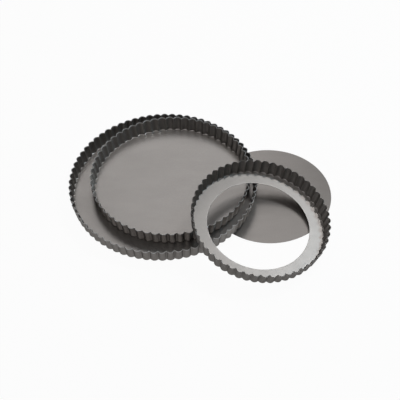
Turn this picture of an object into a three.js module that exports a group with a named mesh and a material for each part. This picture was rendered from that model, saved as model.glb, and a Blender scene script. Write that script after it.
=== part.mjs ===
// A graduated set of three loose-bottom fluted tart pans, laid out as they are shown together:
// the medium pan nested in the large one, the small ring leaning on their rims, and the small
// base lying on the table with its edge tucked under the large pan.
// Each pan is two pieces of coated sheet steel: a fluted ring with an inward ledge at its foot,
// and a flat round base that lies loose on the ledge and is pushed up to free the tart.
// Millimetres and degrees, +Z up. The origin is on the table, under the middle of the set.
import * as THREE from "three";

// Driving dimensions of the pans
const LARGE_RIM_DIAMETER = 280; // across the flute tips at the rim
const MEDIUM_STEP = 40; // the medium pan is this much less across than the large one
const SMALL_STEP = 38; // the small pan is this much less across than the medium one
const WALL_HEIGHT = 23;
const WALL_INSET = 4; // the wall leans in by this much from rim to foot
const RING_SHEET = 0.6;
const BASE_SHEET = 0.6;
const FOOT_BEND = 0.6; // bevel of the bend between wall and ledge, on the outside
const LEDGE_WIDTH = 22.5; // from the flute tips at the foot to the round opening
const LARGE_FLUTES = 72;
const MEDIUM_FLUTES = 60;
const SMALL_FLUTES = 52;
const FLUTE_DEPTH_RIM = 4;
const FLUTE_DEPTH_FOOT = 3.2;
const BASE_CLEARANCE = 0.5; // between the base's edge and the creases of the wall

// How the pieces lie together
const SEAT_GAP = 0.3; // left between pieces that rest on each other
const NEST_AZIMUTH = 46.6; // the way the medium pan is pushed inside the large one
const TUCK_AZIMUTH = -3.7; // where the small base lies, seen from the large pan's middle
const TUCK_LENGTH = 71.7; // how far the small base reaches under the large pan
const LEAN_AZIMUTH = -31.1; // where the small ring leans, seen from the large pan's middle
const LEAN_OVERHANG = 21.2; // from the large rim out to the middle of the leaning ring
const LEAN_MARGIN = 6; // the leaning ring clears the rims this far inside its opening too
const LARGE_TURN = 1.6; // from each ring's own +X to a flute's tip
const MEDIUM_TURN = -2.9;
const SMALL_TURN = -1;

// Fineness of the round shapes
const STEPS_PER_FLUTE = 5;
const BASE_STEPS = 96;
const SUPPORT_SAMPLES = 720; // points of a rim that are tried as supports of the leaning ring
const LEAN_PASSES = 6; // the lean settles within this many tries

const COATING = { metalness: 0.55, roughness: 0.45 };
const ringMaterial = new THREE.MeshStandardMaterial({ color: 0x6f6a66, ...COATING });
const baseMaterial = new THREE.MeshStandardMaterial({ color: 0x8f8a86, ...COATING });

// The sizes of one pan that follow from its rim diameter, its count of flutes and how it is turned
function panSizes(rimDiameter, flutes, turn) {
  const rimRadius = rimDiameter / 2;
  const footRadius = rimRadius - WALL_INSET;
  return {
    rimRadius,
    footRadius,
    flutes,
    firstTip: THREE.MathUtils.degToRad(turn),
    standRadius: footRadius - FOOT_BEND, // outer edge of the flat underside, at the flute tips
    openingRadius: footRadius - LEDGE_WIDTH,
    baseRadius: footRadius - RING_SHEET - FLUTE_DEPTH_FOOT - BASE_CLEARANCE,
  };
}

const large = panSizes(LARGE_RIM_DIAMETER, LARGE_FLUTES, LARGE_TURN);
const medium = panSizes(LARGE_RIM_DIAMETER - MEDIUM_STEP, MEDIUM_FLUTES, MEDIUM_TURN);
const small = panSizes(LARGE_RIM_DIAMETER - MEDIUM_STEP - SMALL_STEP, SMALL_FLUTES, SMALL_TURN);

const BASE_SEAT = RING_SHEET + SEAT_GAP; // underside of a base above its ring's underside
const NEST_FLOOR = BASE_SEAT + BASE_SHEET + SEAT_GAP; // where a pan stands inside a larger one

// Radius of the wall's outside at the flute tips, at a height above the foot
function wallRadius(pan, height) {
  return pan.footRadius + (WALL_INSET * height) / WALL_HEIGHT;
}

function fluteDepth(height) {
  return THREE.MathUtils.lerp(FLUTE_DEPTH_FOOT, FLUTE_DEPTH_RIM, height / WALL_HEIGHT);
}

// 0 on a flute's tip and 1 in the crease between two flutes, along a parabolic arc
function scallop(pan, angle) {
  const turns = ((angle - pan.firstTip) * pan.flutes) / (2 * Math.PI);
  const fromTip = 2 * (turns - Math.round(turns));
  return fromTip * fromTip;
}

// A profile of [radius, height] pairs turned about +Z, with its first step at an angle from +X
function revolve(profile, steps, firstAngle) {
  const points = profile.map(([radius, height]) => new THREE.Vector2(radius, height));
  const start = firstAngle + Math.PI / 2;
  return new THREE.LatheGeometry(points, steps, start).rotateX(Math.PI / 2);
}

// Draws the wall and the outer edge of the ledge in by the flutes, and leaves the round opening
function flute(geometry, pan) {
  const position = geometry.getAttribute("position");
  const point = new THREE.Vector3();
  const ledgeMiddle = pan.footRadius - LEDGE_WIDTH / 2;
  for (let i = 0; i < position.count; i++) {
    point.fromBufferAttribute(position, i);
    const radius = Math.hypot(point.x, point.y);
    if (radius < ledgeMiddle) continue;
    const drawn = radius - fluteDepth(point.z) * scallop(pan, Math.atan2(point.y, point.x));
    position.setXY(i, (point.x * drawn) / radius, (point.y * drawn) / radius);
  }
  geometry.computeVertexNormals();
  return geometry;
}

// Fluted ring: the section of the bent sheet, down the inside and back up the outside, turned and fluted
function fluteRing(name, pan) {
  const section = [
    [pan.rimRadius, WALL_HEIGHT],
    [pan.rimRadius - RING_SHEET, WALL_HEIGHT],
    [wallRadius(pan, RING_SHEET) - RING_SHEET, RING_SHEET],
    [pan.openingRadius, RING_SHEET],
    [pan.openingRadius, 0],
    [pan.standRadius, 0],
    [wallRadius(pan, FOOT_BEND), FOOT_BEND],
    [pan.rimRadius, WALL_HEIGHT],
  ];
  const firstCrease = pan.firstTip + Math.PI / pan.flutes;
  const turned = revolve(section, pan.flutes * STEPS_PER_FLUTE, firstCrease);
  const mesh = new THREE.Mesh(flute(turned, pan), ringMaterial);
  mesh.name = name;
  return mesh;
}

// Loose base: a plain round plate that stands on height zero
function looseBase(name, pan) {
  const profile = [[0, 0], [pan.baseRadius, 0], [pan.baseRadius, BASE_SHEET], [0, BASE_SHEET]];
  const mesh = new THREE.Mesh(revolve(profile, BASE_STEPS, 0), baseMaterial);
  mesh.name = name;
  return mesh;
}

// A ring with its base lying on the ledge
function wholePan(name, pan) {
  const group = new THREE.Group();
  const base = looseBase(`${name}_base`, pan);
  base.position.z = BASE_SEAT;
  group.add(fluteRing(`${name}_ring`, pan), base);
  return group;
}

// The medium pan stands on the large base, pushed over until its flute tips meet the large wall
function nestedMediumPan() {
  const largeWallInside = large.rimRadius - FLUTE_DEPTH_RIM - RING_SHEET;
  const tipsAtLargeRim = wallRadius(medium, WALL_HEIGHT - NEST_FLOOR);
  const push = largeWallInside - tipsAtLargeRim - SEAT_GAP;
  const azimuth = THREE.MathUtils.degToRad(NEST_AZIMUTH);
  const group = wholePan("medium", medium);
  group.position.set(push * Math.cos(azimuth), push * Math.sin(azimuth), NEST_FLOOR);
  return group;
}

// The large pan stands on the table at its far side, and on the tucked-in small base at its near side
function tuckedLargePan(nested) {
  const tuckAzimuth = THREE.MathUtils.degToRad(TUCK_AZIMUTH);
  const farSideToTuck = large.standRadius + large.footRadius - TUCK_LENGTH;
  const pan = wholePan("large", large);
  pan.add(nested);
  pan.position.x = large.standRadius;
  pan.rotation.z = -tuckAzimuth;
  const tipped = new THREE.Group();
  tipped.position.x = -large.standRadius;
  tipped.rotation.y = -Math.atan2(BASE_SHEET + SEAT_GAP, farSideToTuck);
  tipped.add(pan);
  const turned = new THREE.Group();
  turned.rotation.z = tuckAzimuth;
  turned.add(tipped);
  return turned;
}

function tuckedSmallBase() {
  const azimuth = THREE.MathUtils.degToRad(TUCK_AZIMUTH);
  const distance = large.footRadius - TUCK_LENGTH + small.baseRadius;
  const base = looseBase("small_base", small);
  base.position.set(distance * Math.cos(azimuth), distance * Math.sin(azimuth), 0);
  return base;
}

// Points along the flute tips of a pan's rim, in the frame of the whole set
function rimPoints(group, pan) {
  group.updateWorldMatrix(true, false);
  return Array.from({ length: SUPPORT_SAMPLES }, (_, i) => {
    const angle = (2 * Math.PI * i) / SUPPORT_SAMPLES;
    const x = pan.rimRadius * Math.cos(angle);
    const y = pan.rimRadius * Math.sin(angle);
    return group.localToWorld(new THREE.Vector3(x, y, WALL_HEIGHT));
  });
}

// The small ring stands on the table at one flute and tips back until its ledge meets the rims below.
// It lies over a rim point that is, seen along the ring's axis, between its opening and its wall,
// or within the margin inside its opening.
function leaningSmallRing(supports) {
  const turned = new THREE.Group();
  turned.rotation.z = THREE.MathUtils.degToRad(LEAN_AZIMUTH);
  turned.updateMatrixWorld(true);
  const reach = large.rimRadius + LEAN_OVERHANG + small.standRadius;
  const seen = supports.map((point) => turned.worldToLocal(point.clone()));
  let lean = 0;
  for (let pass = 0; pass < LEAN_PASSES; pass++) {
    const covered = seen.filter((point) => {
      const fromMiddle = (reach - point.x) / Math.cos(lean) - small.standRadius;
      const offAxis = Math.hypot(fromMiddle, point.y);
      return offAxis > small.openingRadius - LEAN_MARGIN && offAxis < small.rimRadius;
    });
    lean = Math.max(...covered.map((point) => Math.atan2(point.z + SEAT_GAP, reach - point.x)));
  }
  const ring = fluteRing("small_ring", small);
  ring.position.x = -small.standRadius;
  const tipped = new THREE.Group();
  tipped.position.x = reach;
  tipped.rotation.y = lean;
  tipped.add(ring);
  turned.add(tipped);
  return turned;
}

const set = new THREE.Group();
set.name = "tart_pan_set";
const mediumPan = nestedMediumPan();
set.add(tuckedLargePan(mediumPan), tuckedSmallBase());
const rims = [...rimPoints(mediumPan.parent, large), ...rimPoints(mediumPan, medium)];
set.add(leaningSmallRing(rims));

// The frame of the set: on the table, under the middle of its bounding box
set.updateMatrixWorld(true);
const box = new THREE.Box3().setFromObject(set, true);
const middle = box.getCenter(new THREE.Vector3());
set.position.set(-middle.x, -middle.y, -box.min.z);

export default set;
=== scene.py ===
# %% [markdown]
# # A graduated set of loose-bottom tart pans
# The real object is three fluted pans of coated sheet steel. Each is two pieces: a ring with a fluted
# wall and a flat ledge turned in at its foot, and a plain round base that lies loose on that ledge.
# The medium pan is nested in the large one, the small ring leans on their rims, and the small base
# lies on the table. The imported model says where every piece is, so the lesson starts by loading it.
# Its own meshes are kept, hidden under the finished pieces.

# %% Load the frame
import math

import bpy
import numpy as np
from mathutils import Matrix


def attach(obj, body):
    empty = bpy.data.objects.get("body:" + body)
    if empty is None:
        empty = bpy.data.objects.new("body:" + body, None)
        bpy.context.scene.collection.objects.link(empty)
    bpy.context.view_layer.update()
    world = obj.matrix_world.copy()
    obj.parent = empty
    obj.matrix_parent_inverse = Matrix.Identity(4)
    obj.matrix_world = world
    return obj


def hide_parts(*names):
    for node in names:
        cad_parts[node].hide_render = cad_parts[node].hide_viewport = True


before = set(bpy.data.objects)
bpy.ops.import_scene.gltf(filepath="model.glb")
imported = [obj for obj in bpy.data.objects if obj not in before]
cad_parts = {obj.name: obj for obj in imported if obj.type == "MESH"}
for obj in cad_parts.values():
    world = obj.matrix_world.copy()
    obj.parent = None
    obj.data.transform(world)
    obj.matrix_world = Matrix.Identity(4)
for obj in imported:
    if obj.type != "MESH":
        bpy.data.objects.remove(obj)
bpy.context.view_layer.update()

# %% [markdown]
# ## Where each piece stands
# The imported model's meshes are coarse, but they hold each piece's exact place. A round piece can be
# read back from its corners alone. Its corners spread least along its axis, so the axis is the last
# principal direction of the cloud of corners. Its middle is their mean. Reading the place from the
# mesh is safer than typing it in, because the small ring leans and the large pan is tipped a little.

# %% Read a round piece's place from its corners
def node_corners(name):
    """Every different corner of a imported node, as an array with one row per corner."""
    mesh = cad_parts[name].data
    flat = np.empty(len(mesh.vertices) * 3, np.float32)
    mesh.vertices.foreach_get("co", flat)
    return np.unique(flat.reshape(-1, 3).astype(float).round(6), axis=0)


def place_of(name):
    """Foot point, axis and two directions across it: the axis is where the corners spread least."""
    corners = node_corners(name)
    middle = corners.mean(axis=0)
    directions = np.linalg.eigh(np.cov((corners - middle).T))[1]
    axis = directions[:, 0] * np.sign(directions[2, 0])
    foot = middle + axis * ((corners - middle) @ axis).min()
    across = np.array([1.0, 0.0, 0.0])
    across = across - axis * (across @ axis)
    across = across / np.linalg.norm(across)
    return {"foot": foot, "axis": axis, "across": across, "along": np.cross(axis, across)}


PLACES = {name: place_of(name) for name in sorted(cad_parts)}
for name, place in PLACES.items():
    print(name, "foot", place["foot"].round(4), "axis", place["axis"].round(4))

# %% [markdown]
# ## The flutes
# A drawn tart ring has rounded flutes that bulge outward and meet in sharp folds that point inward.
# One flute is an arc: the wall is drawn in by the square of the distance from the flute's tip, so it
# is flat at the tip and steepest at the fold. The press can't fold sheet to a knife edge, so the
# last bit before each fold is rounded over. A sine wave would be as easy to write, but it would make
# the folds as round as the tips.

# %% The flute curve
FOLD_ROUNDING = 0.11


def flute_curve(turns):
    """0 on a flute's tip and about 0.9 in a fold: w squared, with w the distance from the tip in half
    flutes, rounded to a level top over the last bit before the fold."""
    from_tip = 2 * np.abs(turns - np.round(turns))
    start = 1 - FOLD_ROUNDING
    over = np.clip(from_tip - start, 0, None)
    rounded = start**2 + 2 * start * over - start / FOLD_ROUNDING * over**2
    return np.where(from_tip < start, from_tip**2, rounded)


print("drawn in at a tip, half way and in a fold:", flute_curve(np.array([0, 0.25, 0.5])).round(3))

# %% [markdown]
# ## Where the flutes start
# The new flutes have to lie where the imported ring's flutes lie, because the rings touch each other at
# them. The rim's radius swings once per flute, so one term of a Fourier sum over the corners of the
# rim gives the angle of a tip. That needs no search for the widest corner, and uses them all.

# %% Find a flute's tip
FLUTES = {"large_ring": 72, "medium_ring": 60, "small_ring": 52}
RIM_BAND = 0.98


def first_tip(name):
    """Angle of a flute's tip: the phase of the rim's radius at one swing per flute."""
    place = PLACES[name]
    arms = node_corners(name) - place["foot"]
    heights = arms @ place["axis"]
    arms = arms[heights > heights.max() * RIM_BAND]
    sideways = arms @ place["across"]
    lengthways = arms @ place["along"]
    angles = np.arctan2(lengthways, sideways)
    radii = np.hypot(lengthways, sideways)
    swing = np.sum((radii - radii.mean()) * np.exp(1j * FLUTES[name] * angles))
    return np.angle(swing) / FLUTES[name]


TIPS = {name: first_tip(name) for name in FLUTES}
print("a flute's tip, in degrees:", {name: round(math.degrees(a), 2) for name, a in TIPS.items()})

# %% [markdown]
# ## The bent sheet
# Cut through the ring and the section is one bent strip of 0.6 mm sheet: a rounded raw edge at the
# rim, a wall that leans in by 4 mm, a small bend at the foot, and a ledge with another raw edge at
# its round opening. A box modelled wall with a bevel would do, but the bends would not keep the sheet's
# thickness. Writing the section as straight runs, and arcs that touch them, keeps it even.

# %% Runs, arcs and bends
SHEET = 0.0006
RUN_END_GAP = 0.001
BEND_POINTS = 8


def arc(centre, radius, start, end, count):
    """Points on a circle from one angle to another: centre plus radius times (cos, sin)."""
    angles = np.radians(np.linspace(start, end, count))
    return np.stack([centre[0] + radius * np.cos(angles), centre[1] + radius * np.sin(angles)], axis=1)


def run(start, end, count):
    """Points from near one end to near the other, a thousandth of the way in, evenly apart."""
    share = np.linspace(RUN_END_GAP, 1 - RUN_END_GAP, count)[:, None]
    return np.array(start) * (1 - share) + np.array(end) * share


def bend(wall_at_foot, lean, floor, radius):
    """The arc that touches a level floor and a wall that leans out, from the floor to the wall."""
    height = floor + radius
    centre = (wall_at_foot + math.tan(lean) * height - radius / math.cos(lean), height)
    return arc(centre, radius, -90, -math.degrees(lean), BEND_POINTS)


print("sheet", round(SHEET * 1000, 2), "mm, points in a bend:", BEND_POINTS)

# %% [markdown]
# ## The section of a ring
# A flute's tip and a fold have the same kind of section, only the fold's wall stands further in and
# its bend is tighter. So one function makes both, with the same count of points, and a later step can
# pass from one to the other. Each point of a section also carries its share of the pale edge: bare
# steel where the sheet is cut, with a painted highlight laid along it. That share fades out over the
# first millimetre and a half below the rim, partly as thin, worn coating and partly as painted highlight.

# %% The tip's section and the fold's
RIM_RADIUS = {"large_ring": 0.140, "medium_ring": 0.120, "small_ring": 0.101}
WALL_HEIGHT = 0.023
WALL_INSET = 0.004
LEDGE_WIDTH = 0.0225
FLUTE_DEPTH_RIM = 0.004
FLUTE_DEPTH_FOOT = 0.0032
BEND_AT_TIP = 0.0018
BEND_AT_FOLD = 0.0006
# the pale edge, worn coating with a painted highlight, fades out over this length below the rim
RIM_PALE_BAND = 0.0016
EDGE_POINTS = 7
INNER_WALL_POINTS = 9
OUTER_WALL_POINTS = 7
LEDGE_TOP_POINTS = 7
LEDGE_UNDER_POINTS = 4


def ring_section(rim_radius, foot, opening, bend_radius):
    """Closed strip of (radius, height) points with, for each, its share of the pale edge: bare steel with
    a painted highlight.
    It goes over the rim, down the inside, round the opening and back up the outside."""
    half = SHEET / 2
    lean = math.atan2(rim_radius - foot, WALL_HEIGHT)
    rim = arc((rim_radius - half, WALL_HEIGHT - half), half, 0, 180, EDGE_POINTS)
    inside = bend(foot - SHEET, lean, SHEET, bend_radius)[::-1]
    edge = arc((opening + half, half), half, 90, 270, EDGE_POINTS)
    outside = bend(foot, lean, 0, bend_radius + SHEET)
    down = np.array([-math.sin(lean), -math.cos(lean)]) * RIM_PALE_BAND
    beside = [SHEET, 0]
    # 1 marks the pale edge: bare steel at the cut, with a painted highlight along it
    parts = [
        (rim, 1), (run(rim[-1] + down, inside[0], INNER_WALL_POINTS), 0), (inside, 0),
        (run(inside[-1], edge[0] + beside, LEDGE_TOP_POINTS), 0), (edge, 1),
        (run(edge[-1] + beside, outside[0], LEDGE_UNDER_POINTS), 0), (outside, 0),
        (run(outside[-1], rim[0] + down, OUTER_WALL_POINTS), 0),
    ]
    points = np.concatenate([part for part, raw in parts])
    bare_edge_and_highlight = np.concatenate([np.full(len(part), float(raw)) for part, raw in parts])
    return points, bare_edge_and_highlight


def tip_and_fold_sections(rim_radius):
    """The section through a flute's tip and the one through a fold, with the same count of points."""
    foot = rim_radius - WALL_INSET
    opening = foot - LEDGE_WIDTH
    tip, bare_edge_and_highlight = ring_section(rim_radius, foot, opening, BEND_AT_TIP)
    fold_rim = rim_radius - FLUTE_DEPTH_RIM
    fold_foot = foot - FLUTE_DEPTH_FOOT
    fold = ring_section(fold_rim, fold_foot, opening, BEND_AT_FOLD)[0]
    return tip, fold, bare_edge_and_highlight


print("points in a section:", len(tip_and_fold_sections(RIM_RADIUS["large_ring"])[0]))

# %% [markdown]
# ## From section to ring
# Carrying the section round the axis gives a grid: one direction follows the strip, the other the
# turn. Both close on themselves, so the ring is a torus of quads with no seam. Array arithmetic moves
# the whole grid at once, where a Screw modifier could not draw the flutes in. No pressed ring is
# perfect, so the rim also runs out of round by a tenth of a millimetre, and the ledge rises slightly
# where each fold gathers the metal.

# %% Carry the section round the axis
STEPS_PER_FLUTE = 18
OUT_OF_ROUND = 0.00006
RIM_WAVES = ((1.0, 3, 0.6), (0.6, 11, 0.0), (0.5, 19, 2.1))  # strength, waves in a turn, start
LEDGE_PUCKER = 0.00008
PUCKER_REACH = 0.004


def closed_grid_faces(rows, columns):
    """Quads of a grid that closes on itself both ways, row by row."""
    row = np.arange(rows)[:, None]
    column = np.arange(columns)[None, :]
    next_row = (row + 1) % rows
    next_column = (column + 1) % columns
    corners = [row * columns + column, next_row * columns + column,
               next_row * columns + next_column, row * columns + next_column]
    return np.stack(corners, axis=-1).reshape(-1, 4)


def carried_round(place, radius, height, angle):
    """Foot point, plus radius times (cos, sin) of the angle across the axis, plus height along it."""
    sideways = (radius * np.cos(angle))[..., None] * place["across"]
    lengthways = (radius * np.sin(angle))[..., None] * place["along"]
    return place["foot"] + sideways + lengthways + height[..., None] * place["axis"]


def ring_surface(name):
    """Ring grid: the tip section passes into the fold section by the flute curve, round the axis."""
    tip, fold, bare_edge_and_highlight = tip_and_fold_sections(RIM_RADIUS[name])
    foot = RIM_RADIUS[name] - WALL_INSET
    steps = FLUTES[name] * STEPS_PER_FLUTE
    angle = (TIPS[name] + 2 * np.pi * np.arange(steps) / steps)[:, None]
    curve = flute_curve((angle - TIPS[name]) * FLUTES[name] / (2 * np.pi))
    section = tip * (1 - curve[..., None]) + fold * curve[..., None]
    radius, height = section[..., 0], section[..., 1]
    wander = sum(strength * np.cos(waves * angle + start) for strength, waves, start in RIM_WAVES)
    radius = radius + OUT_OF_ROUND * wander * height / WALL_HEIGHT
    on_ledge = np.exp(-np.abs(foot - radius) / PUCKER_REACH) * (height < 2 * SHEET)
    height = height + LEDGE_PUCKER * curve * on_ledge
    points = carried_round(PLACES[name], radius, height, angle)
    masks = {"bare_edge_and_highlight": np.broadcast_to(bare_edge_and_highlight, radius.shape)}
    return points.reshape(-1, 3), closed_grid_faces(*radius.shape), masks


print("points in the large ring's grid:", len(ring_surface("large_ring")[0]))

# %% [markdown]
# ## From grid to mesh
# A grid turns into a mesh with one call, but the order of a face's corners decides which way it looks,
# and a face that looks inward shades wrongly. Blender can recalculate normals, yet a closed surface can
# also be tested with arithmetic: its enclosed volume is negative if it is inside out. The pale edge
# mask, bare steel with a painted highlight along it, goes along as a point attribute, where a material
# can read it.

# %% Make a mesh object
def enclosed_volume(points, faces):
    """Volume inside a closed mesh: a sixth of the sum of each triangle's triple product."""
    first = points[faces[:, 0]]
    total = 0.0
    for corner in range(1, faces.shape[1] - 1):
        second, third = points[faces[:, corner]], points[faces[:, corner + 1]]
        total += np.sum(first * np.cross(second, third)) / 6
    return total


def make_piece(name, points, face_groups, masks):
    """A mesh object at the origin, with its faces turned outward and its masks as point attributes."""
    inside_out = sum(enclosed_volume(points, group) for group in face_groups) < 0
    step = -1 if inside_out else 1
    faces = []
    for group in face_groups:
        faces += group[:, ::step].tolist()
    mesh = bpy.data.meshes.new(name)
    mesh.from_pydata(points.tolist(), [], faces)
    mesh.polygons.foreach_set("use_smooth", np.ones(len(mesh.polygons), bool))
    for mask_name, values in masks.items():
        mask = mesh.attributes.new(mask_name, "FLOAT", "POINT")
        mask.data.foreach_set("value", np.ascontiguousarray(values, np.float32).ravel())
    mesh.update()
    piece = bpy.data.objects.new(name, mesh)
    bpy.context.scene.collection.objects.link(piece)
    print(name, "faces:", len(faces))
    return piece


rings = []
for node in FLUTES:
    points, quads, masks = ring_surface(node)
    ring = make_piece("coated_" + node, points, [quads], masks)
    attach(ring, node)
    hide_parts(node)
    rings.append(ring)

# %% [markdown]
# ## The edge of a loose base
# A base is a disc punched from flat sheet. Its top edge is rolled over a little by the punch and
# its lower edge keeps a small burr. A cylinder would have dead straight corners that catch no
# light, so the disc is a profile turned about its axis too. The profile runs from near the middle of
# the top, over the edge, to near the middle of the underside.

# %% The section of a base
PUNCH_ROLL = 0.00022
BURR_ROLL = 0.00008
POLE_GAP = 0.03
TOP_POINTS = 24
ROLL_POINTS = 5
BURR_POINTS = 4
UNDER_POINTS = 12


def base_section(radius, thickness):
    """Profile from near the middle of the top to near the middle of the underside, poles left out."""
    near_pole = radius * POLE_GAP
    top = run((near_pole, thickness), (radius - 2 * PUNCH_ROLL, thickness), TOP_POINTS)
    roll = arc((radius - PUNCH_ROLL, thickness - PUNCH_ROLL), PUNCH_ROLL, 90, 0, ROLL_POINTS)
    burr = arc((radius - BURR_ROLL, BURR_ROLL), BURR_ROLL, 0, -90, BURR_POINTS)
    under = run((radius - 2 * BURR_ROLL, 0), (near_pole, 0), UNDER_POINTS)
    points = np.concatenate([top, roll, burr, under])
    # the rolled top edge and the burr carry the pale edge: bare steel with a painted highlight
    bare_edge_and_highlight = np.concatenate([np.zeros(len(top)), np.ones(len(roll) + len(burr)), np.zeros(len(under))])
    return points, bare_edge_and_highlight


print("points in a base's section:", TOP_POINTS + ROLL_POINTS + BURR_POINTS + UNDER_POINTS)

# %% [markdown]
# ## The loose bases
# The turned profile leaves a small round hole in the middle of each side. A pole closes it with a fan
# of triangles, which is safe on a flat plate, where the thin triangles can't be seen. Thin plate is
# never quite flat, so it is given a bow of a few hundredths of a millimetre.

# %% Turn the bases
BASE_STEPS = 240
PLATE_BOW = 0.00005
BOW_TURN = 0.7


def base_surface(name):
    """Disc grid: the profile turned about the axis, with a bow that grows with the radius squared."""
    place = PLACES[name]
    arms = node_corners(name) - place["foot"]
    thickness = (arms @ place["axis"]).max()
    rim = np.hypot(arms @ place["across"], arms @ place["along"]).max()
    section, bare_edge_and_highlight = base_section(rim, thickness)
    radius, height = section[None, :, 0], section[None, :, 1]
    angle = (2 * np.pi * np.arange(BASE_STEPS) / BASE_STEPS)[:, None]
    bow = PLATE_BOW * (radius / rim) ** 2 * (1 + np.cos(2 * angle + BOW_TURN)) / 2
    points = carried_round(place, radius, height + bow, angle)
    poles = place["foot"] + np.array([[thickness], [0.0]]) * place["axis"]
    rows, columns = BASE_STEPS, len(section)
    here = np.arange(rows) * columns
    beyond = np.roll(here, -1)
    column = np.arange(columns - 1)
    near, far = here[:, None] + column, beyond[:, None] + column
    quads = np.stack([near, near + 1, far + 1, far], axis=-1)
    top_pole, under_pole = rows * columns, rows * columns + 1
    top_fan = np.stack([np.full(rows, top_pole), here, beyond], axis=-1)
    last = columns - 1
    under_fan = np.stack([np.full(rows, under_pole), beyond + last, here + last], axis=-1)
    points = np.concatenate([points.reshape(-1, 3), poles])
    masks = {"bare_edge_and_highlight": np.append(np.broadcast_to(bare_edge_and_highlight, (rows, columns)), [0.0, 0.0])}
    return points, [quads.reshape(-1, 4), top_fan, under_fan], masks


BASES = ["large_base", "medium_base", "small_base"]
bases = []
for node in BASES:
    base = make_piece("coated_" + node, *base_surface(node))
    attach(base, node)
    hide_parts(node)
    bases.append(base)

# %% [markdown]
# ## Tools for finishes
# A finish is a web of nodes. Three small helpers keep it readable: one starts a node group with named
# sockets, one places a noise, and one does arithmetic. Every pattern reads Object coordinates. The
# pieces lie at the origin with their place in their mesh, so a pattern stays put when a piece is lifted.

# %% Small node helpers
def new_group(name, inputs, outputs):
    """An empty shader node group with the named sockets, and its input and output nodes."""
    group = bpy.data.node_groups.new(name, "ShaderNodeTree")
    for socket, kind in inputs.items():
        group.interface.new_socket(socket, in_out="INPUT", socket_type="NodeSocket" + kind)
    for socket, kind in outputs.items():
        group.interface.new_socket(socket, in_out="OUTPUT", socket_type="NodeSocket" + kind)
    print("group:", name)
    return group, group.nodes.new("NodeGroupInput"), group.nodes.new("NodeGroupOutput")


def noise(tree, vector, scale, detail):
    """A noise texture's value, from 0 to 1, at so many cells per metre."""
    node = tree.nodes.new("ShaderNodeTexNoise")
    node.inputs["Scale"].default_value = scale
    node.inputs["Detail"].default_value = detail
    tree.links.new(vector, node.inputs["Vector"])
    return node.outputs["Fac"]


def math_node(tree, operation, first, second, third=None):
    """One Math node; each input is a socket or a number."""
    node = tree.nodes.new("ShaderNodeMath")
    node.operation = operation
    for socket, value in zip(node.inputs, (first, second, third)):
        if isinstance(value, (int, float)):
            socket.default_value = value
        elif value is not None:
            tree.links.new(value, socket)
    return node.outputs[0]


print("node helpers:", [helper.__name__ for helper in (new_group, noise, math_node)])

# %% [markdown]
# ## A sprayed coating
# The sheet is covered with a thin non-stick coating, sprayed on and baked. Up close it has a fine
# metallic grain, a faint mottling where the spray overlapped, and a soft orange-peel surface. All
# six pieces have it, so it is a node group with named inputs. It puts out a colour, a roughness and a
# height. The shader itself stays in each material, where its constant values are set.

# %% Build the coating group
GRAIN_CELLS = 1600
MOTTLE_CELLS = 120
DRIFT_CELLS = 9
PATCH_CELLS = 40
PEEL_CELLS = 700
GRAIN_IN_PEEL = 0.35
NOISE_MIDDLE = 0.5


def coating_group():
    """Brightness is 1 plus grain, mottle and drift, each a noise about its middle times its strength.
    Roughness is its middle plus a patchy noise times its spread. Height is the peel plus some grain."""
    inputs = {"Vector": "Vector", "Colour": "Color", "Grain": "Float", "Mottle": "Float", "Drift": "Float",
              "Roughness": "Float", "Roughness Spread": "Float"}
    outputs = {"Colour": "Color", "Roughness": "Float", "Height": "Float"}
    group, given, result = new_group("sprayed coating", inputs, outputs)
    given = given.outputs
    shade = 1.0
    for cells, detail, strength in ((GRAIN_CELLS, 2, "Grain"), (MOTTLE_CELLS, 3, "Mottle"),
                                    (DRIFT_CELLS, 2, "Drift")):
        swing = math_node(group, "SUBTRACT", noise(group, given["Vector"], cells, detail), NOISE_MIDDLE)
        shade = math_node(group, "MULTIPLY_ADD", swing, given[strength], shade)
    tint = group.nodes.new("ShaderNodeVectorMath")
    tint.operation = "SCALE"
    group.links.new(given["Colour"], tint.inputs[0])
    group.links.new(shade, tint.inputs["Scale"])
    group.links.new(tint.outputs[0], result.inputs["Colour"])
    patch = math_node(group, "SUBTRACT", noise(group, given["Vector"], PATCH_CELLS, 4), NOISE_MIDDLE)
    rough = math_node(group, "MULTIPLY_ADD", patch, given["Roughness Spread"], given["Roughness"])
    group.links.new(rough, result.inputs["Roughness"])
    grain = noise(group, given["Vector"], GRAIN_CELLS, 1)
    peel = noise(group, given["Vector"], PEEL_CELLS, 2)
    height = math_node(group, "MULTIPLY_ADD", grain, GRAIN_IN_PEEL, peel)
    group.links.new(height, result.inputs["Height"])
    return group


COATING_GROUP = coating_group()

# %% [markdown]
# ## Pale edges: bare steel and a painted highlight
# The rim, the ring's opening and the base's edge are cut through the coating, so thin steel shows
# along them. The masks that the surfaces carry say where. A second group mixes the coating's colour,
# roughness and metallic value with those of the pale edge, broken up by a noise so that the line is not
# drawn with a ruler. The edge is not set metallic but matt and near-white, so it looks pale from every
# side: that is a painted highlight, standing in for the glints that catch the rims.

# %% Build the pale edge group
STREAK_CELLS = 260
LEAST_PALE_SHARE = 0.5


def mix_node(tree, kind, factor, first, second):
    """One Mix node of kind Float or Color: first where the factor is 0, second where it is 1."""
    node = tree.nodes.new("ShaderNodeMix")
    node.data_type = "RGBA" if kind == "Color" else "FLOAT"
    sockets = {socket.identifier: socket for socket in node.inputs}
    tree.links.new(factor, sockets["Factor_Float"])
    tree.links.new(first, sockets["A_" + kind])
    tree.links.new(second, sockets["B_" + kind])
    return next(socket for socket in node.outputs if socket.identifier == "Result_" + kind)


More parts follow.
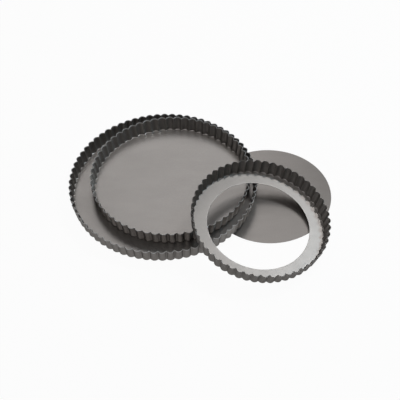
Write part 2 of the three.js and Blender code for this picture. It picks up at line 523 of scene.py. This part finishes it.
def bare_edge_and_highlight_group():
    """Share of the pale edge, bare steel with a painted highlight, is the mask times its amount, times a
    noise raised by its least value.
    """
    inputs = {"Vector": "Vector", "Edge": "Float", "Amount": "Float", "Coating": "Color", "Pale Edge": "Color",
              "Coating Roughness": "Float", "Steel Roughness": "Float", "Coating Metallic": "Float",
              "Steel Metallic": "Float"}
    outputs = {"Colour": "Color", "Roughness": "Float", "Metallic": "Float"}
    group, given, result = new_group("pale edge", inputs, outputs)
    given = given.outputs
    patchy = math_node(group, "ADD", noise(group, given["Vector"], STREAK_CELLS, 2), LEAST_PALE_SHARE)
    amount = math_node(group, "MULTIPLY", given["Edge"], given["Amount"])
    share = math_node(group, "MULTIPLY", amount, patchy)
    colour = mix_node(group, "Color", share, given["Coating"], given["Pale Edge"])
    rough = mix_node(group, "Float", share, given["Coating Roughness"], given["Steel Roughness"])
    metallic = mix_node(group, "Float", share, given["Coating Metallic"], given["Steel Metallic"])
    group.links.new(colour, result.inputs["Colour"])
    group.links.new(rough, result.inputs["Roughness"])
    group.links.new(metallic, result.inputs["Metallic"])
    return group


PALE_EDGE_GROUP = bare_edge_and_highlight_group()

# %% [markdown]
# ## The finish
# Rings and bases have the same warm grey coating. It holds fine metal flakes, so most of what it
# shows is a soft reflection: the flats look pale because they mirror the lights, and the walls look
# dark because they mirror the dark sides of the studio. Painting the walls dark would look wrong as
# soon as a piece is lifted, so the contrast is left to the shader: mostly metallic, and fairly rough.
# Bare metal turns into a white mirror at a grazing angle. A coating does not, so its tint is grey there.

# %% Build a coated finish
COATING_METALLIC = 0.8
# the pale edge is not metallic, so it stays pale from every side: a painted highlight
PALE_EDGE_METALLIC = 0.0
GRAZING_TINT = (0.35, 0.34, 0.33, 1)
PEEL_STRENGTH = 0.10
PEEL_DISTANCE = 0.0002
SPRAY = {"Grain": 0.25, "Mottle": 0.10, "Drift": 0.08, "Roughness Spread": 0.08}


def group_node(tree, group, values):
    """A placed group with its own values: each is a number, a colour or a socket."""
    node = tree.nodes.new("ShaderNodeGroup")
    node.node_tree = group
    for name, value in values.items():
        if isinstance(value, bpy.types.NodeSocket):
            tree.links.new(value, node.inputs[name])
        else:
            node.inputs[name].default_value = value
    return node.outputs


def coated_finish(name, grain_stretch, coating, edge):
    """Principled shader fed by the coating group and, along cut edges, the raw edge group."""
    material = bpy.data.materials.new(name)
    material.use_nodes = True
    tree = material.node_tree
    shader = tree.nodes["Principled BSDF"]
    shader.inputs["Specular Tint"].default_value = GRAZING_TINT
    place = tree.nodes.new("ShaderNodeTexCoord").outputs["Object"]
    stretch = tree.nodes.new("ShaderNodeMapping")
    stretch.inputs["Scale"].default_value = grain_stretch
    tree.links.new(place, stretch.inputs["Vector"])
    sprayed = group_node(tree, COATING_GROUP, {"Vector": stretch.outputs["Vector"], **SPRAY, **coating})
    mask = tree.nodes.new("ShaderNodeAttribute")
    mask.attribute_name = "bare_edge_and_highlight"
    edged = group_node(tree, PALE_EDGE_GROUP, {
        "Vector": place, "Edge": mask.outputs["Fac"], "Coating": sprayed["Colour"],
        "Coating Roughness": sprayed["Roughness"], "Coating Metallic": COATING_METALLIC,
        "Steel Metallic": PALE_EDGE_METALLIC, **edge})
    tree.links.new(edged["Colour"], shader.inputs["Base Color"])
    tree.links.new(edged["Roughness"], shader.inputs["Roughness"])
    tree.links.new(edged["Metallic"], shader.inputs["Metallic"])
    bump = tree.nodes.new("ShaderNodeBump")
    bump.inputs["Strength"].default_value = PEEL_STRENGTH
    bump.inputs["Distance"].default_value = PEEL_DISTANCE
    tree.links.new(sprayed["Height"], bump.inputs["Height"])
    tree.links.new(bump.outputs["Normal"], shader.inputs["Normal"])
    print("finish:", name)
    return material


# %% [markdown]
# ## Four finishes
# The rings' grain is stretched up the wall, the way the press drew it, and the bases' grain runs
# across the plate, the way the sheet was rolled. The small pan has values of its own: its base colour
# is a little darker, its ring colour a little darker as painted shade for its darker walls, its ring
# more matt, and its pale edge, bare steel with a painted highlight, only faint. One function with four
# sets of values gives all of that.

# %% Finish the pieces
UP_THE_WALL = (1, 1, 0.3)
ALONG_THE_SHEET = (0.35, 1, 1)
# pale edge colours: bare steel lightened to a matt near-white, a painted highlight
BARE_EDGE_WITH_HIGHLIGHT = {"Amount": 1.0, "Pale Edge": (0.92, 0.91, 0.90, 1), "Steel Roughness": 0.30}
FAINT_EDGE_WITH_HIGHLIGHT = {"Amount": 0.2, "Pale Edge": (0.62, 0.60, 0.58, 1), "Steel Roughness": 0.30}
RING_COAT = {"Colour": (0.365, 0.346, 0.331, 1), "Roughness": 0.34}
# a darker copy of the ring coat: painted shade for the small ring's darker walls
SMALL_RING_COAT = {"Colour": (0.325, 0.308, 0.295, 1), "Roughness": 0.45}
BASE_COAT = {"Colour": (0.352, 0.334, 0.322, 1), "Roughness": 0.31}
# a little darker than the other bases
SMALL_BASE_COAT = {"Colour": (0.328, 0.307, 0.293, 1), "Roughness": 0.31}

RING_FINISH = coated_finish("ring_coating", UP_THE_WALL, RING_COAT, BARE_EDGE_WITH_HIGHLIGHT)
SMALL_RING_FINISH = coated_finish("small_ring_coating", UP_THE_WALL, SMALL_RING_COAT, FAINT_EDGE_WITH_HIGHLIGHT)
BASE_FINISH = coated_finish("base_coating", ALONG_THE_SHEET, BASE_COAT, FAINT_EDGE_WITH_HIGHLIGHT)
SMALL_BASE_FINISH = coated_finish("small_base_coating", ALONG_THE_SHEET, SMALL_BASE_COAT, FAINT_EDGE_WITH_HIGHLIGHT)
for ring in rings:
    ring.data.materials.append(SMALL_RING_FINISH if "small" in ring.name else RING_FINISH)
for base in bases:
    base.data.materials.append(SMALL_BASE_FINISH if "small" in base.name else BASE_FINISH)
print("finished:", {piece.name: piece.data.materials[0].name for piece in rings + bases})

# %% [markdown]
# ## The white table
# The set lies on a white table: one large white disc that keeps the pieces' shadows. A lamp bright
# enough to bleach the table would bleach the pans too, so the table is simply white for the camera,
# apart from a trace of its shadows. The outer walls mirror the table, and their brightness in the
# photograph shows that it is only part of the way to white there.

# %% Table
FLOOR_RADIUS = 6.0
FLOOR_STEPS = 96
FLOOR_DROP = 0.0003
TABLE_WHITE = (0.95, 0.95, 0.95, 1)
WHITENED_SEEN = 0.96
WHITENED_MIRRORED = 0.40


def white_table():
    """Matt white that takes shadows, mixed with plain white where the camera or a mirror looks at it."""
    finish = bpy.data.materials.new("white_table")
    finish.use_nodes = True
    tree = finish.node_tree
    matt = tree.nodes["Principled BSDF"]
    matt.inputs["Base Color"].default_value = TABLE_WHITE
    matt.inputs["Roughness"].default_value = 1.0
    matt.inputs["Specular IOR Level"].default_value = 0.0
    plain = tree.nodes.new("ShaderNodeEmission")
    path = tree.nodes.new("ShaderNodeLightPath").outputs
    seen = math_node(tree, "MAXIMUM", path["Is Camera Ray"], path["Is Transmission Ray"])
    share = math_node(tree, "MULTIPLY", seen, WHITENED_SEEN)
    share = math_node(tree, "MULTIPLY_ADD", path["Is Glossy Ray"], WHITENED_MIRRORED, share)
    mix = tree.nodes.new("ShaderNodeMixShader")
    tree.links.new(share, mix.inputs[0])
    tree.links.new(matt.outputs[0], mix.inputs[1])
    tree.links.new(plain.outputs[0], mix.inputs[2])
    tree.links.new(mix.outputs[0], tree.nodes["Material Output"].inputs["Surface"])
    return finish


angle = 2 * np.pi * np.arange(FLOOR_STEPS) / FLOOR_STEPS
floor_rim = np.stack([FLOOR_RADIUS * np.cos(angle), FLOOR_RADIUS * np.sin(angle)], axis=1)
floor_rim = np.pad(floor_rim, ((0, 0), (0, 1)), constant_values=-FLOOR_DROP)
floor_mesh = bpy.data.meshes.new("floor")
floor_mesh.from_pydata(floor_rim.tolist(), [], [list(range(FLOOR_STEPS))])
floor_mesh.materials.append(white_table())
floor = bpy.data.objects.new("floor", floor_mesh)
bpy.context.scene.collection.objects.link(floor)
print("table", 2 * FLOOR_RADIUS, "m across")

# %% [markdown]
# ## The white room
# Round the table is a white room. The camera sees it white, and so do the coating's reflections. As a
# light it is nearly off, because the photograph's shadows are dark. One background can't do both, so
# the world mixes two, and Light Path says which of them a ray meets.

# %% Room
ROOM_LIGHT = 0.15


def white_room():
    """World: white at strength 1 to the camera, reflections and glass, and the room's light otherwise."""
    world = bpy.data.worlds.new("white_room")
    world.use_nodes = True
    tree = world.node_tree
    shown = tree.nodes["Background"]
    shown.inputs["Color"].default_value = (1, 1, 1, 1)
    shown.inputs["Strength"].default_value = 1.0
    lighting = tree.nodes.new("ShaderNodeBackground")
    lighting.inputs["Color"].default_value = (1, 1, 1, 1)
    lighting.inputs["Strength"].default_value = ROOM_LIGHT
    path = tree.nodes.new("ShaderNodeLightPath").outputs
    seen = math_node(tree, "MAXIMUM", path["Is Camera Ray"], path["Is Glossy Ray"])
    seen = math_node(tree, "MAXIMUM", seen, path["Is Transmission Ray"])
    mix = tree.nodes.new("ShaderNodeMixShader")
    tree.links.new(seen, mix.inputs[0])
    tree.links.new(lighting.outputs[0], mix.inputs[1])
    tree.links.new(shown.outputs[0], mix.inputs[2])
    tree.links.new(mix.outputs[0], tree.nodes["World Output"].inputs["Surface"])
    return world


bpy.context.scene.world = white_room()
bpy.context.scene.view_settings.view_transform = "Standard"
print("room light", ROOM_LIGHT)

# %% [markdown]
# ## A dark cloth round the table
# Photographers hang dark cloth round shiny metal, so that it has something dark to mirror. Here it is
# a plain round curtain that the camera looks through. It is tall behind the set, where the flats would
# mirror the white room and be bleached, and lower in front. The inner walls mirror the bases at a low
# angle, and there the bases mirror the front of the cloth, so without it the walls would turn pale.

# %% Dark cloth
CLOTH_RADIUS = 2.2
BACK_CLOTH_HEIGHT = 6.0
FRONT_CLOTH_HEIGHT = 2.2
STEP_DOWN = 0.25  # the cloth steps down this share of its radius in front of the middle
CLOTH_STEPS = 64
CLOTH_GREY = (0.1, 0.1, 0.1, 1)

turn = 2 * np.pi * np.arange(CLOTH_STEPS) / CLOTH_STEPS
hem = np.stack([CLOTH_RADIUS * np.cos(turn), CLOTH_RADIUS * np.sin(turn), np.zeros(CLOTH_STEPS)], axis=1)
heights = np.where(np.sin(turn) > -STEP_DOWN, BACK_CLOTH_HEIGHT, FRONT_CLOTH_HEIGHT)
top = hem + np.outer(heights, [0, 0, 1])
below = np.arange(CLOTH_STEPS)
above = below + CLOTH_STEPS
strip = np.stack([below, above, np.roll(above, -1), np.roll(below, -1)], axis=1)
cloth_mesh = bpy.data.meshes.new("dark_cloth")
cloth_mesh.from_pydata(np.concatenate([hem, top]).tolist(), [], strip.tolist())
dark_cloth = bpy.data.materials.new("dark_cloth")
dark_cloth.use_nodes = True
weave = dark_cloth.node_tree.nodes["Principled BSDF"]
weave.inputs["Base Color"].default_value = CLOTH_GREY
weave.inputs["Roughness"].default_value = 1.0
cloth_mesh.materials.append(dark_cloth)
cloth = bpy.data.objects.new("dark_cloth", cloth_mesh)
bpy.context.scene.collection.objects.link(cloth)
cloth.visible_camera = False
print("dark cloth", 2 * CLOTH_RADIUS, "m across,", BACK_CLOTH_HEIGHT, "m high at the back")

# %% [markdown]
# ## Four lamps
# The shadows in the photograph say where its lights stood. The small ring's wall throws a short, sharp
# shadow on its own ledge at the back right, so the main light is small and stands high behind the set
# on that side. The ledge leans towards that light and mirrors it, which is why it is paler than every
# other flat. Its front right is bluer too, so a second small light with a cool colour stands further
# round to the right. The level bases mirror a wide light at the back, and the long soft shadow in
# front of the medium pan is its work. A light from the front left fills the walls. All four are
# area lamps, because the size of a lamp sets how soft its shadows' edges are.

# %% Hang the lamps
MAIN_LIGHT = {"size": 0.10, "power": 2.65, "colour": (0.985, 0.97, 0.96), "place": (0.480, 0.403, 1.023)}
COOL_LIGHT = {"size": 0.12, "power": 2.0, "colour": (0.68, 0.88, 1.0), "place": (0.725, 0.264, 0.919)}
BACK_LIGHT = {"size": 1.0, "power": 4.0, "colour": (1.0, 0.99, 0.985), "place": (-0.175, 1.365, 1.44)}
FILL_LIGHT = {"size": 0.5, "power": 2.4, "colour": (1.0, 0.97, 0.94), "place": (-0.964, -0.964, 1.463)}
MIDDLE_OF_THE_SET = (0.0, 0.0, 0.0)


def aim(thing, place, target):
    """Puts a lamp or a camera at a place and points its -Z at a target, with +Y up."""
    back = np.array(place, float) - np.array(target, float)
    back = back / np.linalg.norm(back)
    side = np.cross((0.0, 0.0, 1.0), back)
    side = side / np.linalg.norm(side)
    turned = np.eye(4)
    turned[:3, 0] = side
    turned[:3, 1] = np.cross(back, side)
    turned[:3, 2] = back
    turned[:3, 3] = place
    thing.matrix_world = Matrix(turned.tolist())


def area_lamp(name, size, power, colour, place):
    """A square area lamp at a place, aimed at the middle of the set."""
    data = bpy.data.lights.new(name, "AREA")
    data.shape = "SQUARE"
    data.size = size
    data.energy = power
    data.color = colour
    lamp = bpy.data.objects.new(name, data)
    bpy.context.scene.collection.objects.link(lamp)
    aim(lamp, place, MIDDLE_OF_THE_SET)
    print(name, power, "W")


area_lamp("main_light", **MAIN_LIGHT)
area_lamp("cool_light", **COOL_LIGHT)
area_lamp("back_light", **BACK_LIGHT)
area_lamp("fill_light", **FILL_LIGHT)

# %% [markdown]
# ## The camera
# The photograph looks down on the set from the front with a long lens. The height of the view
# follows from how round the pans look, and the distance from how much smaller their far sides are.
# The way the sides of the pans run shows that the lens was aimed a little right of the picture's
# middle, so the picture is a crop. A small sideways shift of the lens does the same.

# %% Camera
VIEW_ELEVATION = 48.59
VIEW_DISTANCE = 1.5409
VIEW_TARGET = (0.0440, 0.0033, 0.0)
FOCAL_PIXELS = 1037.7
CROP_PIXELS = 30.0
IMAGE_PIXELS = 400
SENSOR = 36.0

camera_data = bpy.data.cameras.new("camera")
camera_data.sensor_width = SENSOR
camera_data.lens = FOCAL_PIXELS / IMAGE_PIXELS * SENSOR
camera_data.shift_x = -CROP_PIXELS / IMAGE_PIXELS
camera = bpy.data.objects.new("camera", camera_data)
bpy.context.scene.collection.objects.link(camera)
elevation = math.radians(VIEW_ELEVATION)
stand = (VIEW_TARGET[0], VIEW_TARGET[1] - VIEW_DISTANCE * math.cos(elevation),
         VIEW_TARGET[2] + VIEW_DISTANCE * math.sin(elevation))
aim(camera, stand, VIEW_TARGET)
bpy.context.scene.camera = camera
print("camera at", tuple(round(c, 3) for c in stand), "lens", round(camera_data.lens, 1), "mm")
